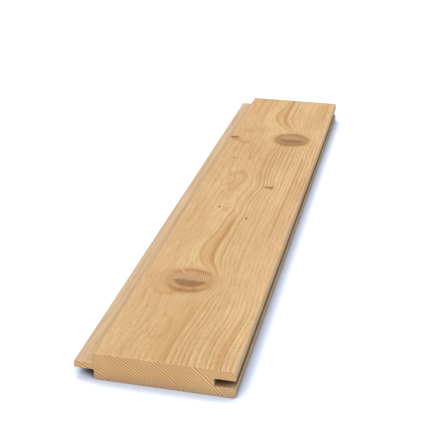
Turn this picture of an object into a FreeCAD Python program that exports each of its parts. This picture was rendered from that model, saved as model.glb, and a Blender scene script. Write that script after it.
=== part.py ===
# Tongue and groove board: one length of planed softwood with a tongue along one edge
# and a groove along the other, so that boards laid side by side lock together.
# X runs across the board with the tongue on the -X edge, Y along the grain and Z up
# from the back to the face. The origin is at the middle of the underside of the whole
# board, tongue included. All sizes are in millimetres.

import FreeCAD, Part
import os

import Sketcher

NODE_NAME = "tongue_and_groove_board"
PLACE_TOLERANCE = 0.001
VOLUME_TOLERANCE = 0.01

# The driving dimensions: the cell's alias, its value and what it measures.
DRIVING_SIZES = [
    ("board_length", 500.0, "length along the grain"),
    ("cover_width", 84.0, "width of the face, which is what one laid board covers"),
    ("board_thickness", 17.5, "from the back to the face"),
    ("tongue_reach", 12.0, "how far the tongue stands out of its shoulders"),
    ("tongue_thickness", 4.6, "from cheek to cheek, centred in the board's thickness"),
    ("cheek_clearance", 0.2, "gap left beside each cheek of a tongue in the groove"),
    ("nose_clearance", 0.5, "gap left between a tongue's nose and the groove's floor"),
    ("nose_radius", 1.0, "rounding of the tongue's nose and of the groove's floor corners"),
    ("face_arris_radius", 1.5, "rounding of the two long edges of the face"),
    ("back_arris_radius", 1.0, "rounding of the two long edges of the back"),
]

# Places and sizes of the joint that follow from the driving dimensions.
TONGUE_TIP = "-(sizes.cover_width + sizes.tongue_reach) / 2"
SHOULDER = "(sizes.tongue_reach - sizes.cover_width) / 2"
TONGUE_UNDERSIDE = "(sizes.board_thickness - sizes.tongue_thickness) / 2"
GROOVE_DEPTH = "sizes.tongue_reach + sizes.nose_clearance"
GROOVE_HEIGHT = "sizes.tongue_thickness + 2 * sizes.cheek_clearance"
GROOVE_FLOOR = "(sizes.cover_width - sizes.tongue_reach) / 2 - sizes.nose_clearance"
GROOVE_UNDERSIDE = "(sizes.board_thickness - sizes.tongue_thickness) / 2 - sizes.cheek_clearance"


def make_sheet(document):
    """Put the driving dimensions into a sheet, one aliased cell each."""
    sheet = document.addObject("Spreadsheet::Sheet", "sizes")
    for row, (alias, value, meaning) in enumerate(DRIVING_SIZES, start=1):
        sheet.set(f"A{row}", alias)
        sheet.set(f"B{row}", str(value))
        sheet.setAlias(f"B{row}", alias)
        sheet.set(f"C{row}", meaning)
    document.recompute()
    return sheet


def section_plane(body):
    """The body's own plane across the grain, at the middle of the board's length."""
    return next(plane for plane in body.Origin.OriginFeatures if plane.Role == "XZ_Plane")


def draw_rectangle(body, name, left, underside, width, height):
    """Sketch a rectangle of the section, held by expressions for its corner, width and height."""
    sketch = body.newObject("Sketcher::SketchObject", name)
    sketch.AttachmentSupport = (section_plane(body), [""])
    sketch.MapMode = "FlatFace"
    corners = [
        FreeCAD.Vector(0, 0, 0),
        FreeCAD.Vector(1, 0, 0),
        FreeCAD.Vector(1, 1, 0),
        FreeCAD.Vector(0, 1, 0),
    ]
    bottom, right, top, left_side = range(len(corners))
    start, end = 1, 2
    for line, corner in enumerate(corners):
        next_corner = corners[(line + 1) % len(corners)]
        sketch.addGeometry(Part.LineSegment(corner, next_corner), False)
    for line in range(len(corners)):
        next_line = (line + 1) % len(corners)
        sketch.addConstraint(Sketcher.Constraint("Coincident", line, end, next_line, start))
    for line in (bottom, top):
        sketch.addConstraint(Sketcher.Constraint("Horizontal", line))
    for line in (right, left_side):
        sketch.addConstraint(Sketcher.Constraint("Vertical", line))
    origin, origin_point = -1, 1
    dimensions = [
        ("left", left, ("DistanceX", origin, origin_point, bottom, start, 0.0)),
        ("underside", underside, ("DistanceY", origin, origin_point, bottom, start, 0.0)),
        ("width", width, ("DistanceX", bottom, start, bottom, end, 1.0)),
        ("height", height, ("DistanceY", right, start, right, end, 1.0)),
    ]
    for label, expression, terms in dimensions:
        constraint = sketch.addConstraint(Sketcher.Constraint(*terms))
        sketch.renameConstraint(constraint, label)
        sketch.setExpression(f"Constraints.{label}", expression)
    return sketch


def run_lengthwise(body, kind, name, sketch):
    """Run a section sketch the whole length of the board, half to each side of its plane."""
    feature = body.newObject(kind, name)
    feature.Profile = sketch
    feature.SideType = "Symmetric"
    feature.setExpression("Length", "sizes.board_length")
    body.Document.recompute()
    return feature


def long_edges(feature, places):
    """Names of the feature's edges that run lengthwise at the given (x, z) places."""
    names = []
    for number, edge in enumerate(feature.Shape.Edges, start=1):
        ends = [vertex.Point for vertex in edge.Vertexes]
        for x, z in places:
            if all(abs(end.x - x) < PLACE_TOLERANCE and abs(end.z - z) < PLACE_TOLERANCE for end in ends):
                names.append(f"Edge{number}")
    if len(names) != len(places):
        raise RuntimeError(f"{feature.Label}: found {len(names)} of {len(places)} long edges")
    return names


def round_edges(body, name, places, radius):
    """Round the long edges at the given places to the radius in the named cell."""
    base = body.Tip
    fillet = body.newObject("PartDesign::Fillet", name)
    fillet.Base = (base, long_edges(base, places))
    fillet.setExpression("Radius", f"sizes.{radius}")
    body.Document.recompute()


def check_section(sheet, feature):
    """Compare the square-edged board's volume with its section times its length."""
    board = sheet.cover_width * sheet.board_thickness
    tongue = sheet.tongue_reach * sheet.tongue_thickness
    groove_depth = sheet.tongue_reach + sheet.nose_clearance
    groove_height = sheet.tongue_thickness + 2 * sheet.cheek_clearance
    volume = (board + tongue - groove_depth * groove_height) * sheet.board_length
    if abs(feature.Shape.Volume - volume) > VOLUME_TOLERANCE:
        raise RuntimeError(f"the section's volume is {feature.Shape.Volume:.2f}, not {volume:.2f}")


def make_board(document, sheet):
    """Make the board: a planed blank, its tongue, its groove and its rounded long edges."""
    body = document.addObject("PartDesign::Body", NODE_NAME)

    blank_section = draw_rectangle(
        body, "blank_section", SHOULDER, "0", "sizes.cover_width", "sizes.board_thickness"
    )
    run_lengthwise(body, "PartDesign::Pad", "planed_blank", blank_section)
    tongue_section = draw_rectangle(
        body, "tongue_section", TONGUE_TIP, TONGUE_UNDERSIDE, "sizes.tongue_reach", "sizes.tongue_thickness"
    )
    run_lengthwise(body, "PartDesign::Pad", "tongue", tongue_section)
    groove_section = draw_rectangle(
        body, "groove_section", GROOVE_FLOOR, GROOVE_UNDERSIDE, GROOVE_DEPTH, GROOVE_HEIGHT
    )
    groove = run_lengthwise(body, "PartDesign::Pocket", "groove", groove_section)
    check_section(sheet, groove)

    board_box = blank_section.Shape.BoundBox
    tongue_box = tongue_section.Shape.BoundBox
    groove_box = groove_section.Shape.BoundBox
    face_edges = [(x, board_box.ZMax) for x in (board_box.XMin, board_box.XMax)]
    back_edges = [(x, board_box.ZMin) for x in (board_box.XMin, board_box.XMax)]
    nose_edges = [(tongue_box.XMin, z) for z in (tongue_box.ZMin, tongue_box.ZMax)]
    floor_edges = [(groove_box.XMin, z) for z in (groove_box.ZMin, groove_box.ZMax)]
    round_edges(body, "face_arrises", face_edges, "face_arris_radius")
    round_edges(body, "back_arrises", back_edges, "back_arris_radius")
    round_edges(body, "tongue_nose", nose_edges, "nose_radius")
    round_edges(body, "groove_floor_corners", floor_edges, "nose_radius")
    return body


def check_document(document, body):
    """Stop unless every object recomputed and the board is one valid solid."""
    failed = [item.Label for item in document.Objects if {"Invalid", "Error"} & set(item.State)]
    if failed:
        raise RuntimeError("failed objects: " + ", ".join(failed))
    if body.Shape.isNull() or not body.Shape.isValid() or len(body.Shape.Solids) != 1:
        raise RuntimeError(f"{body.Label} is not one valid solid")


def main():
    """Build the board and write its solid."""
    document = FreeCAD.newDocument("board")
    sheet = make_sheet(document)
    body = make_board(document, sheet)
    document.recompute()
    check_document(document, body)
    os.makedirs("parts", exist_ok=True)
    body.Shape.exportStep(f"parts/{body.Label}.step")
    box = body.Shape.BoundBox
    print(f"{body.Label}: {box.XLength:.2f} x {box.YLength:.2f} x {box.ZLength:.2f} mm, "
          f"{body.Shape.Volume / 1000:.1f} cm3")


main()
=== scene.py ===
"""Looks of a planed softwood tongue and groove board.

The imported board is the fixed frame. A dense mesh of the same section stands for it: it carries the fine
relief of planed grain and knots, and the growth layers of the tree that the board was sawn from, which
its procedural softwood reads. The board's own sizes are in millimetres, and Blender's are in metres.
"""
from __future__ import annotations

import logging
import math
from dataclasses import dataclass, field
from enum import Enum
from typing import Union

import bpy
import numpy as np
from mathutils import Matrix, Vector
from mathutils.geometry import delaunay_2d_cdt

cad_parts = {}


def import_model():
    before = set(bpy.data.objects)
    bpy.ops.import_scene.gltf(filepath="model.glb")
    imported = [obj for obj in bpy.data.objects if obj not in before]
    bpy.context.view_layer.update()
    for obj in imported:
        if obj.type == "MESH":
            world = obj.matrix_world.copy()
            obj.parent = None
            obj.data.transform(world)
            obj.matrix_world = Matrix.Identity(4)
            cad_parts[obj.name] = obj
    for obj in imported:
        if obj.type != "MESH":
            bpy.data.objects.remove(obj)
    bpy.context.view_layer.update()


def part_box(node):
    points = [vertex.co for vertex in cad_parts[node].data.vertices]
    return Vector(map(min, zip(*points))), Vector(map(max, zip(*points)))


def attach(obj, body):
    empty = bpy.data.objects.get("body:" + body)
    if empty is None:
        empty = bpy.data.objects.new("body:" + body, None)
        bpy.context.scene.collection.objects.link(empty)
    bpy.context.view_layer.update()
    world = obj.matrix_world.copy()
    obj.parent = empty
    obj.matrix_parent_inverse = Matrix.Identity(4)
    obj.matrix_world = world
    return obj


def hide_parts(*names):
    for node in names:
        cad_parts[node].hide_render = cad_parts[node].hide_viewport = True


NODE = "tongue_and_groove_board"
BODY = "root"
MILLIMETRE = 0.001
YEARS_ATTRIBUTE = "years"
YEARS_PER_LINE = 1.45
LINE_STOP = (0.92, 1.0)
NOISE_MEAN = 0.5
WHITE = (1.0, 1.0, 1.0, 1.0)

Colour = tuple[float, float, float, float]
Span = tuple[float, float]
Feed = Union["Signal", float, Colour]
Inputs = Union[dict[str, Feed], dict[int, Feed]]

log = logging.getLogger("board")


def pigment(red: int, green: int, blue: int) -> Colour:
    """Turn a screen colour into the linear colour that a shader takes.

    Args:
        red: Red, from 0 to 255.
        green: Green, from 0 to 255.
        blue: Blue, from 0 to 255.

    Returns:
        The linear colour with full alpha.
    """
    def linear(level: int) -> float:
        """Undo the screen's curve for one channel."""
        share = level / 255
        return share / 12.92 if share <= 0.04045 else ((share + 0.055) / 1.055) ** 2.4

    return (linear(red), linear(green), linear(blue), 1.0)


def smooth_step(low: float, high: float, values: np.ndarray) -> np.ndarray:
    """Rise smoothly from 0 at low to 1 at high."""
    share = np.clip((values - low) / (high - low), 0.0, 1.0)
    return share * share * (3.0 - 2.0 * share)


def put_in_scene(name: str, data: bpy.types.ID) -> bpy.types.Object:
    """Make an object and link it to the scene.

    Args:
        name: The object's name.
        data: Its mesh, lamp or camera.

    Returns:
        The object.
    """
    made = bpy.data.objects.new(name, data)
    bpy.context.scene.collection.objects.link(made)
    return made


# The tree

@dataclass(frozen=True)
class Swell:
    """A place on the face where the growth layers bulge outwards.

    Attributes:
        x: Place across the board.
        y: Place along the board.
        push: How far the layers bulge.
        reach_across: How far the bulge reaches across the board.
        reach_along: How far the bulge reaches along the board.
    """

    x: float
    y: float
    push: float
    reach_across: float
    reach_along: float


@dataclass(frozen=True)
class Knot(Swell):
    """A branch that the face cuts, with the bulge of the layers round it.

    Attributes:
        half_width: Half of its width on the face.
        half_length: Half of its length on the face.
        seed: Picks its own irregular outline.
        shade: How dark it is all over, from 0 to 1.
    """

    half_width: float
    half_length: float
    seed: float
    shade: float


@dataclass(frozen=True)
class Stain:
    """A soft patch of another tone on the face.

    Attributes:
        x: Place across the board.
        y: Place along the board.
        half_width: Half of its width.
        half_length: Half of its length.
        strength: Share of the stain's colour at its middle.
        seed: Picks its own irregular outline.
    """

    x: float
    y: float
    half_width: float
    half_length: float
    strength: float
    seed: float


@dataclass(frozen=True)
class Loop(Stain):
    """A growth line that closes on itself, where the face grazes a bulge of the layers.

    Attributes:
        taper: How much narrower its near end is than its far end.
        far_share: Share of its strength that is left at its far end.
        fill: Share of the line's colour inside its near half.
    """

    taper: float
    far_share: float
    fill: float


class AccentTone(Enum):
    """The colour that a strong growth line takes."""

    BROWN = "brown"
    HONEY = "honey"
    ORANGE = "orange"


@dataclass(frozen=True)
class Accent:
    """A growth line that stands out over a stretch of the board.

    Attributes:
        inner: Radius in the tree where the line starts to darken.
        outer: Radius in the tree where it is darkest.
        edge: How soon it ends past that.
        start: Near end of the stretch.
        end: Far end of the stretch.
        fade: How gently it starts and ends.
        strength: Share of the tone where it is darkest.
        tone: Its colour.
    """

    inner: float
    outer: float
    edge: float
    start: float
    end: float
    fade: float
    strength: float
    tone: AccentTone


BRANCHES = (
    Knot(-3.4, -150.9, 12.2, 19.0, 17.0, 16.6, 17.1, 2.0, 0.05),
    Knot(20.5, 133.3, 3.5, 15.0, 14.0, 16.4, 16.8, 7.0, 0.48),
)
TWIGS = (
    Knot(17.6, 17.0, 1.1, 6.0, 13.0, 1.9, 2.0, 3.0, 0.75),
    Knot(21.4, 16.9, 1.1, 6.0, 13.0, 2.5, 2.7, 5.0, 0.85),
    Knot(-32.8, 129.0, 1.7, 6.0, 12.0, 2.9, 4.2, 1.0, 0.78),
    Knot(-29.4, 128.4, 1.7, 6.0, 12.0, 3.0, 4.0, 6.0, 0.72),
    Knot(-20.9, 76.4, 0.9, 3.0, 7.0, 1.0, 2.4, 9.0, 0.85),
    Knot(-10.6, -29.2, 0.8, 3.0, 7.0, 1.0, 2.3, 4.0, 0.95),
    Knot(13.6, -45.6, 0.7, 3.0, 8.0, 1.0, 2.5, 8.0, 0.95),
)
SWELLS = (
    Swell(-9.9, -102.4, -3.5, 15.0, 30.0),
    Swell(-5.6, 198.3, -3.1, 8.0, 28.0),
    Swell(15.3, 154.6, 7.0, 13.0, 20.0),
    Swell(-9.3, 27.1, 4.9, 7.5, 22.0),
    Swell(-4.8, -29.6, 2.3, 4.6, 9.0),
    Swell(-9.0, -206.1, 3.5, 6.5, 20.0),
    Swell(6.0, -35.0, 1.4, 6.0, 7.0),
    Swell(8.0, 18.0, 3.0, 8.0, 22.0),
    Swell(9.0, 114.0, 1.4, 12.0, 20.0),
)
STAINS = (
    Stain(19.8, 18.4, 5.5, 7.0, 0.62, 1.0),
    Stain(-28.0, 123.2, 6.5, 5.4, 0.85, 2.0),
    Stain(-20.4, 117.6, 6.5, 5.4, 0.85, 3.0),
    Stain(-21.6, 147.6, 8.0, 5.0, 0.52, 4.0),
    Stain(-8.0, 155.0, 14.0, 10.0, 0.34, 5.0),
    Stain(-4.8, -33.6, 3.5, 6.0, 0.30, 6.0),
    Stain(-21.2, 67.0, 2.0, 4.5, 0.35, 7.0),
    # A darker band along the face's far end.
    Stain(6.0, 250.5, 75.0, 3.2, 0.60, 8.0),
)
LOOPS = (
    Loop(-9.2, 25.0, 6.4, 21.0, 0.62, 1.0, 0.35, 0.85, 0.28),
    Loop(-5.8, -28.1, 2.6, 7.0, 0.55, 2.0, 0.0, 0.7, 0.12),
    Loop(-7.2, -211.5, 6.8, 14.5, 0.36, 3.0, 0.0, 0.7, 0.08),
    Loop(-16.0, -155.0, 11.0, 17.0, 0.50, 5.0, 0.0, 0.9, 0.0),
    Loop(-7.8, 112.8, 6.8, 37.0, 0.80, 4.0, 0.70, 0.0, 0.22),
)
ACCENTS = (
    Accent(196.1, 196.9, 0.6, 163.5, 262.0, 16.0, 0.68, AccentTone.BROWN),
    Accent(196.2, 197.2, 3.4, 158.5, 262.0, 20.0, 0.55, AccentTone.HONEY),
    Accent(197.8, 200.0, 0.6, 161.5, 262.0, 18.0, 0.82, AccentTone.BROWN),
    Accent(202.5, 203.2, 0.4, 158.5, 262.0, 15.0, 0.85, AccentTone.BROWN),
    Accent(187.1, 187.9, 0.6, 186.0, 262.0, 14.0, 0.60, AccentTone.ORANGE),
    Accent(180.2, 180.9, 0.5, -76.0, -30.0, 12.0, 0.40, AccentTone.ORANGE),
    Accent(183.6, 184.3, 0.5, -95.0, -28.0, 14.0, 0.36, AccentTone.ORANGE),
    Accent(182.4, 183.2, 0.6, 194.0, 262.0, 14.0, 0.55, AccentTone.ORANGE),
    Accent(194.4, 195.2, 0.6, -132.3, 0.0, 14.0, 0.55, AccentTone.BROWN),
    Accent(194.6, 195.5, 4.0, -134.3, -62.5, 16.0, 0.55, AccentTone.HONEY),
    Accent(196.6, 199.0, 0.5, -136.3, -45.6, 16.0, 0.84, AccentTone.BROWN),
    Accent(197.6, 198.5, 0.5, -40.6, 98.8, 14.0, 0.48, AccentTone.BROWN),
    Accent(200.6, 201.3, 0.4, -40.6, 95.0, 14.0, 0.42, AccentTone.BROWN),
    Accent(201.1, 201.8, 0.4, -134.3, -40.6, 14.0, 0.55, AccentTone.BROWN),
    Accent(188.4, 198.4, 1.5, -262.0, -176.0, 10.0, 0.48, AccentTone.HONEY),
    Accent(197.0, 198.6, 1.6, -262.0, -192.0, 12.0, 0.36, AccentTone.BROWN),
    Accent(216.9, 218.4, 1.2, -75.5, 83.9, 18.0, 0.66, AccentTone.ORANGE),
    Accent(221.2, 222.6, 1.1, 193.3, 262.0, 12.0, 0.62, AccentTone.ORANGE),
    Accent(217.3, 219.0, 1.2, -262.0, -185.0, 16.0, 0.58, AccentTone.ORANGE),
    Accent(166.5, 167.1, 0.5, 12.0, 95.0, 12.0, 0.85, AccentTone.ORANGE),
)


@dataclass(frozen=True)
class Tree:
    """The tree that the board was sawn from, in the board's own frame.

    Attributes:
        pith_x: Place of the pith across the board.
        pith_z: Height of the pith, below the board's back.
        face_z: Height of the board's face.
        drift: Places along the board, each with the sideways drift of the grain there.
        wavers: Small waves of the grain: how far, their scales along and across, and where they start.
        ring_width: Mean width of a year's growth.
        slowing: How the years' widths shrink outwards.
        middle_radius: Radius at which a year has the mean width.
        seasons: Swings between good and poor years: how far, their scale, and where they start.
        parting: Width of the place where the layers part round a branch.
        parting_shift: How far that place lies off the branch's middle, as a share of its width.
        shared: Share of a branch's bulge that the layers on its inner side have too.
    """

    pith_x: float = -115.0
    pith_z: float = -142.0
    face_z: float = 17.5
    drift: tuple[Span, ...] = (
        (-250.0, 2.0), (-235.0, 1.4), (-210.0, 3.2), (-190.0, 5.4), (-140.0, 2.9),
        (80.0, 2.9), (135.0, 2.2), (200.0, 1.0), (250.0, 1.0),
    )
    wavers: tuple[tuple[float, float, float, float], ...] = ((0.09, 11.0, 9.0, 0.0), (0.03, 4.3, 5.0, 1.3))
    ring_width: float = 1.48
    slowing: float = 0.0003
    middle_radius: float = 198.0
    seasons: tuple[tuple[float, float, float], ...] = ((0.22, 2.3, 0.0), (0.14, 1.37, 1.0))
    parting: float = 6.0
    parting_shift: float = 0.5
    shared: float = 0.3

    def drift_at(self, along: np.ndarray) -> np.ndarray:
        """Find the grain's sideways drift on a smooth curve through the named places.

        Args:
            along: Places along the board.

        Returns:
            The drift at each place.
        """
        places, shifts = np.array(self.drift).T
        slopes = np.gradient(shifts, places)
        first = np.clip(np.searchsorted(places, along) - 1, 0, len(places) - 2)
        span = places[first + 1] - places[first]
        share = (along - places[first]) / span
        rise = share * share * (3.0 - 2.0 * share)
        start_bend = share * (1.0 - share) ** 2 * span * slopes[first]
        end_bend = share * share * (share - 1.0) * span * slopes[first + 1]
        return shifts[first] + (shifts[first + 1] - shifts[first]) * rise + start_bend + end_bend

    def lean(self, knot: Swell) -> float:
        """Sideways lean of a branch for each millimetre of height."""
        return (knot.x - self.pith_x) / (self.face_z - self.pith_z)

    def radius_at(self, x: np.ndarray, y: np.ndarray, z: np.ndarray) -> np.ndarray:
        """Find the radius in the tree of the growth layer at each point.

        Args:
            x: Places across the board.
            y: Places along the board.
            z: Heights.

        Returns:
            The layers' radii, with the bulges round branches taken out.
        """
        across = x - self.drift_at(y)
        for wave, along_scale, across_scale, start in self.wavers:
            across = across + wave * np.sin(y / along_scale + x / across_scale + start)
        radius = np.hypot(across - self.pith_x, z - self.pith_z)
        height_share = (z - self.pith_z) / (self.face_z - self.pith_z)
        for swell in BRANCHES + TWIGS + SWELLS:
            beside = x - swell.x - self.lean(swell) * (z - self.face_z)
            distance = (beside / swell.reach_across) ** 2 + ((y - swell.y) / swell.reach_along) ** 2
            bulge = swell.push * height_share * np.exp(-distance)
            if swell in BRANCHES:
                side = np.tanh(beside / self.parting + self.parting_shift)
                bulge = bulge * (self.shared + (1.0 - self.shared) * side)
            radius = radius - bulge
        return radius

    def years_at(self, radius: np.ndarray) -> np.ndarray:
        """Count the years of growth inside a radius.

        Args:
            radius: Radii in the tree.

        Returns:
            The number of years, with good and poor years between.
        """
        years = radius / self.ring_width + self.slowing * (radius - self.middle_radius) ** 2
        for swing, scale, start in self.seasons:
            years = years + swing * np.sin(radius / scale + start)
        return years


# Shader wiring

class SocketKind(Enum):
    """The kinds of socket that the effects' groups have."""

    VALUE = "NodeSocketFloat"
    COLOUR = "NodeSocketColor"
    PLACE = "NodeSocketVector"


class MixKind(Enum):
    """What is mixed, by the ending of the sockets that take it."""

    RGBA = "Color"
    FLOAT = "Float"


class Signal:
    """What comes out of a socket, and the sums that can be made with it."""

    def __init__(self, wiring: Wiring, socket: bpy.types.NodeSocket) -> None:
        """Keep the socket and the wiring that it is part of."""
        self.wiring = wiring
        self.socket = socket

    def __add__(self, other: Feed) -> Signal:
        """Add another term."""
        return self.wiring.math("ADD", self, other)

    def __sub__(self, other: Feed) -> Signal:
        """Take another term away."""
        return self.wiring.math("SUBTRACT", self, other)

    def __mul__(self, other: Feed) -> Signal:
        """Multiply by another term."""
        return self.wiring.math("MULTIPLY", self, other)

    def __truediv__(self, other: Feed) -> Signal:
        """Divide by another term."""
        return self.wiring.math("DIVIDE", self, other)

    def most(self, other: Feed) -> Signal:
        """Take the larger of this and another term."""
        return self.wiring.math("MAXIMUM", self, other)

    def reach(self, other: Signal) -> Signal:
        """Find how far this and another term reach together, at right angles."""
        return self.wiring.math("SQRT", self * self + other * other)

    def fall(self, low: Feed, high: Feed, top: float = 1.0) -> Signal:
        """Fall smoothly from a level to 0."""
        return self.rise(low, high, top, 0.0)

    def rise(self, low: Feed, high: Feed, bottom: Feed = 0.0, top: Feed = 1.0) -> Signal:
        """Rise smoothly from one level to another.

        Args:
            low: Where the rise starts.
            high: Where it ends.
            bottom: The level before it.
            top: The level after it.

        Returns:
            The level.
        """
        inputs = {"From Min": low, "From Max": high, "To Min": bottom, "To Max": top, "Value": self}
        return self.wiring.lay("ShaderNodeMapRange", inputs, interpolation_type="SMOOTHSTEP")["Result"]

    def profile(self, stops: tuple[Span, ...]) -> Signal:
        """Follow a level along a run of stops.

        Args:
            stops: Places in rising order, each with its level.

        Returns:
            The level.
        """
        start, end = stops[0][0], stops[-1][0]
        share = (self - start) / (end - start)
        node = self.wiring.node("ShaderNodeValToRGB")
        node.color_ramp.interpolation = "EASE"
        elements = node.color_ramp.elements
        while len(elements) < len(stops):
            elements.new(0.5)
        for element, (place, level) in zip(elements, stops):
            element.position = (place - start) / (end - start)
            element.color = (level, level, level, 1.0)
        self.wiring.feed(node.inputs["Fac"], share)
        return Signal(self.wiring, node.outputs["Color"])


class Wiring:
    """Lays nodes into one node tree and joins them."""

    def __init__(self, tree: bpy.types.NodeTree) -> None:
        """Keep the tree that the nodes go into."""
        self.tree = tree

    @classmethod
    def fresh(cls, owner: Union[bpy.types.Material, bpy.types.World]) -> Wiring:
        """Start the wiring of a material or a world from nothing.

        Args:
            owner: The material or the world.

        Returns:
            Its wiring.
        """
        owner.use_nodes = True
        owner.node_tree.nodes.clear()
        return cls(owner.node_tree)

    def node(self, kind: str, **settings: object) -> bpy.types.Node:
        """Make one node.

        Args:
            kind: Blender's name of the node's type.
            **settings: The node's properties to set.

        Returns:
            The node.
        """
        made = self.tree.nodes.new(kind)
        for name, value in settings.items():
            setattr(made, name, value)
        return made

    def feed(self, socket: bpy.types.NodeSocket, value: Feed) -> None:
        """Join a socket to a signal, or set its own value.

        Args:
            socket: The input socket.
            value: The signal or the value that it gets.
        """
        if isinstance(value, Signal):
            self.tree.links.new(value.socket, socket)
        else:
            socket.default_value = value

    def lay(self, kind: str, inputs: Inputs, **settings: object) -> dict[str, Signal]:
        """Make one node and feed it.

        Args:
            kind: Blender's name of the node's type.
            inputs: What its inputs get, by name or by number.
            **settings: The node's properties to set.

        Returns:
            Its outputs by name.
        """
        node = self.node(kind, **settings)
        for name, value in inputs.items():
            self.feed(node.inputs[name], value)
        return {socket.name: Signal(self, socket) for socket in node.outputs}

    def effect(self, group: bpy.types.NodeTree, inputs: dict[str, Feed]) -> dict[str, Signal]:
        """Place an effect's node group."""
        return self.lay("ShaderNodeGroup", inputs, node_tree=group)

    def math(self, operation: str, *terms: Feed) -> Signal:
        """Work out one sum of numbers."""
        return self.lay("ShaderNodeMath", dict(enumerate(terms)), operation=operation)["Value"]

    def mix(self, kind: MixKind, share: Feed, first: Feed, second: Feed) -> Signal:
        """Mix two colours or two numbers.

        Args:
            kind: What is mixed.
            share: Share of the second.
            first: The first colour or number.
            second: The second colour or number.

        Returns:
            The mixture.
        """
        node = self.node("ShaderNodeMix", data_type=kind.name)
        sockets = {socket.identifier: socket for socket in [*node.inputs, *node.outputs]}
        self.feed(sockets["Factor_Float"], share)
        self.feed(sockets[f"A_{kind.value}"], first)
        self.feed(sockets[f"B_{kind.value}"], second)
        return Signal(self, sockets[f"Result_{kind.value}"])

    def blend(self, share: Feed, first: Feed, second: Feed) -> Signal:
        """Mix two colours, by the share of the second."""
        return self.mix(MixKind.RGBA, share, first, second)

    def between(self, share: Feed, first: Feed, second: Feed) -> Signal:
        """Go from one number to another, by the share of the second."""
        return self.mix(MixKind.FLOAT, share, first, second)

    def place(self, x: Feed, y: Feed, z: Feed = 0.0) -> Signal:
        """Put three numbers together into a vector."""
        return self.lay("ShaderNodeCombineXYZ", {"X": x, "Y": y, "Z": z})["Vector"]

    def apart(self, vector: Feed) -> tuple[Signal, ...]:
        """Take a vector apart into its three numbers."""
        return tuple(self.lay("ShaderNodeSeparateXYZ", {"Vector": vector}).values())

    def noise(self, vector: Feed, detail: float = 2.0, roughness: float = 0.5) -> Signal:
        """Lay soft noise round its mean, with features about one unit across."""
        inputs = {"Vector": vector, "Scale": 1.0, "Detail": detail, "Roughness": roughness}
        return self.lay("ShaderNodeTexNoise", inputs, noise_dimensions="3D")["Fac"]


def numbers(*names: str) -> dict[str, SocketKind]:
    """Name the sockets of a group that hold numbers."""
    return {name: SocketKind.VALUE for name in names}


class EffectGroup:
    """A shader node group with named inputs and outputs."""

    def __init__(self, name: str, inputs: dict[str, SocketKind], outputs: dict[str, SocketKind]) -> None:
        """Make the group's tree and its sockets.

        Args:
            name: The group's name.
            inputs: Its input sockets.
            outputs: Its output sockets.
        """
        self.tree = bpy.data.node_groups.new(name, "ShaderNodeTree")
        for side, sockets in (("INPUT", inputs), ("OUTPUT", outputs)):
            for label, kind in sockets.items():
                self.tree.interface.new_socket(name=label, in_out=side, socket_type=kind.value)
        self.wiring = Wiring(self.tree)
        self.given = self.wiring.lay("NodeGroupInput", {})

    def give(self, results: dict[str, Feed]) -> bpy.types.NodeTree:
        """Feed the group's outputs, and hand over its finished tree."""
        self.wiring.lay("NodeGroupOutput", results)
        return self.tree


# Softwood

@dataclass(frozen=True)
class WoodColours:
    """The colours of the softwood.

    Attributes:
        pale: Spring growth.
        tan: Spring growth where it is darker.
        light: The palest fibres.
        line: Summer growth, the dark part of a growth line.
        fleck: Short dark dashes along the fibres.
        brown: A strong growth line.
        honey: A broad soft growth line.
        orange: A resinous growth line.
        stain: Soft brown patches.
        collar: The wood of a branch near its rim.
        collar_dark: The darkest part of that.
        core: The pale part of a branch's middle.
        core_line: The branch's own growth lines.
        heart: The dark part of its middle.
        heart_dark: The streaks in that.
        shade: What a dark branch is darkened with all over.
        crack: A drying crack across its rim.
        twig: A small dark knot.
    """

    pale: Colour = pigment(228, 193, 144)
    tan: Colour = pigment(217, 178, 130)
    light: Colour = pigment(243, 211, 163)
    line: Colour = pigment(172, 118, 61)
    fleck: Colour = pigment(134, 90, 50)
    brown: Colour = pigment(184, 132, 76)
    honey: Colour = pigment(201, 157, 101)
    orange: Colour = pigment(196, 141, 84)
    stain: Colour = pigment(192, 144, 94)
    collar: Colour = pigment(208, 164, 115)
    collar_dark: Colour = pigment(167, 119, 71)
    core: Colour = pigment(226, 190, 146)
    core_line: Colour = pigment(140, 96, 56)
    heart: Colour = pigment(178, 130, 82)
    heart_dark: Colour = pigment(124, 82, 46)
    shade: Colour = pigment(134, 97, 53)
    crack: Colour = pigment(228, 194, 148)
    twig: Colour = pigment(120, 77, 26)


@dataclass(frozen=True)
class FibreNoise:
    """One kind of fine irregularity in the wood, with its scales in features for each millimetre.

    Attributes:
        name: What it draws.
        across: Scale across the fibres.
        along: Scale along them.
        upward: Scale through the board's thickness.
        detail: How many finer layers it has.
        roughness: How strong those are.
        bends: Whether it follows the growth layers sideways.
    """

    name: str
    across: float
    along: float
    upward: float
    detail: float = 2.0
    roughness: float = 0.5
    bends: bool = True


@dataclass(frozen=True)
class LineForm:
    """The course of a growth line, from 0 at its pale start to 1 at its dark end.

    Attributes:
        soft: Where its slow darkening starts and ends.
        crisp: Where its quick darkening starts and ends.
        even_crisp: The same where all lines are alike.
        soft_share: Share of the slow darkening, and its share where all lines are alike.
        weakest: Strength of the weakest lines.
        run: Noise between which a line comes and goes along the board.
        run_share: Strength that is left where it has gone.
        run_scale: How unlike neighbouring lines are, and how fast one changes along the board.
    """

    soft: Span = (0.15, 0.80)
    crisp: Span = (0.62, 0.84)
    even_crisp: Span = (0.40, 0.68)
    soft_share: Span = (0.42, 0.10)
    weakest: float = 0.62
    run: Span = (0.32, 0.60)
    run_share: float = 0.60
    run_scale: Span = (7.3, 0.013)


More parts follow.
